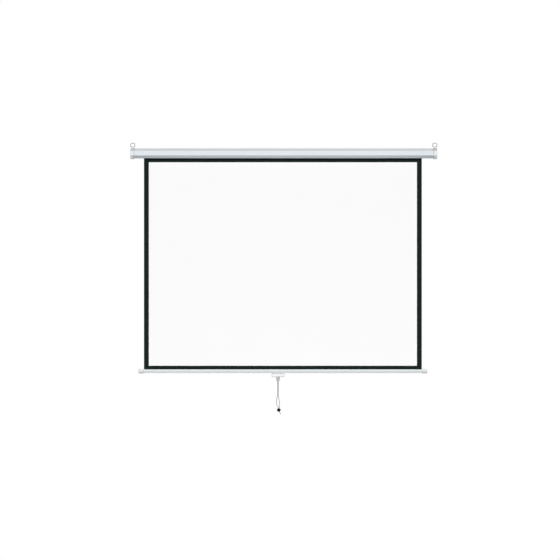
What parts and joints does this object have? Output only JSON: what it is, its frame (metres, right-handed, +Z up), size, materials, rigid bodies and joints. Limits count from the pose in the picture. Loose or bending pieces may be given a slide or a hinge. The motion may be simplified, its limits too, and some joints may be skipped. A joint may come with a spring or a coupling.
{
  "type": "pull down projector screen",
  "caption": "Manual pull down projection screen: spring roller in a slim white case, black bordered matt white cloth, weighted bottom bar, pull handle and cord.",
  "frame": {"origin": "middle of the case's flat back face, where it meets the wall", "axes": "+X along the case to the viewer's right, +Y into the wall, +Z up; the picture faces -Y"},
  "size_m": [2.3242, 0.0738, 2.0559],
  "materials": {
    "case_paint": "semi-gloss white powder coat",
    "cap_plastic": "satin moulded white plastic",
    "galvanised_steel": "galvanised sheet",
    "zinc_steel": "bright zinc plate",
    "spring_steel": "oiled spring steel",
    "grey_plastic": "moulded grey plastic",
    "socket_plastic": "moulded light grey plastic",
    "nylon": "natural nylon",
    "border_cloth": "matt black coated cloth",
    "picture_cloth": "matt white coated projection cloth",
    "bar_paint": "white powder coat",
    "cord_grey": "light grey braided cord",
    "ball_black": "smooth black plastic"
  },
  "bodies": {
    "case": {"case_shell": "case_paint", "end_cap_left": "cap_plastic", "end_cap_right": "cap_plastic", "end_bracket_left": "galvanised_steel", "end_bracket_right": "galvanised_steel", "cap_screw_left_rear": "zinc_steel", "cap_screw_left_front": "zinc_steel", "cap_screw_right_rear": "zinc_steel", "cap_screw_right_front": "zinc_steel", "ring_strap_left": "galvanised_steel", "ring_strap_right": "galvanised_steel", "arbor_shaft": "zinc_steel", "ratchet_disc": "spring_steel", "roller_spring": "spring_steel", "spring_collar": "grey_plastic", "idler_pin": "zinc_steel", "black_border": "border_cloth", "picture_cloth": "picture_cloth"},
    "roller": {"roller_tube": "galvanised_steel", "pawl_carrier": "grey_plastic", "shaft_support": "nylon", "idler_plug": "grey_plastic", "idler_bush": "nylon", "wound_cloth": "border_cloth", "pawl_pin_upper": "zinc_steel", "pawl_pin_lower": "zinc_steel"},
    "pawl_upper": {"pawl_upper": "spring_steel"},
    "pawl_lower": {"pawl_lower": "spring_steel"},
    "bar": {"bottom_bar": "bar_paint", "bar_cap_left": "cap_plastic", "bar_cap_right": "cap_plastic", "hem_rod": "nylon", "weight_rod": "galvanised_steel", "pull_handle": "cap_plastic", "cord_socket": "socket_plastic", "handle_screw_left": "zinc_steel", "handle_screw_right": "zinc_steel"},
    "pull_cord": {"cord_top_knot": "cord_grey", "cord_strand_left": "cord_grey", "cord_strand_right": "cord_grey", "cord_ball": "ball_black", "cord_end_knot": "cord_grey"},
    "hanger_left": {"hanger_ring_left": "zinc_steel"},
    "hanger_right": {"hanger_ring_right": "zinc_steel"}
  },
  "joints": [
    {"name": "bar_travel", "type": "slide", "parent": "case", "child": "bar", "axis": [0, 0, 1], "range_m": [0, 1.5945], "deforming": ["black_border", "picture_cloth"]},
    {"name": "roller_turn", "type": "hinge", "parent": "case", "child": "roller", "pos_m": [0, -0.038, 0.002], "axis": [1, 0, 0], "range_deg": [0, 4500]},
    {"name": "pawl_upper_drop", "type": "hinge", "parent": "roller", "child": "pawl_upper", "pos_m": [-1.116, -0.03667, 0.01513], "axis": [1, 0, 0], "range_deg": [0, 18]},
    {"name": "pawl_lower_drop", "type": "hinge", "parent": "roller", "child": "pawl_lower", "pos_m": [-1.116, -0.03933, -0.01113], "axis": [1, 0, 0], "range_deg": [0, 18]},
    {"name": "cord_swing", "type": "hinge", "parent": "bar", "child": "pull_cord", "pos_m": [-0.044, -0.01843, -1.71595], "axis": [0, 1, 0], "range_deg": [-60, 60]},
    {"name": "hanger_left_swing", "type": "hinge", "parent": "case", "child": "hanger_left", "pos_m": [-1.144, -0.038, 0.04935], "axis": [1, 0, 0], "range_deg": [-90, 90]},
    {"name": "hanger_right_swing", "type": "hinge", "parent": "case", "child": "hanger_right", "pos_m": [1.144, -0.038, 0.04935], "axis": [1, 0, 0], "range_deg": [-90, 90]}
  ],
  "couplings": [
    {"joint": "roller_turn", "follows": "bar_travel", "rad_per_m": 49.257}
  ]
}
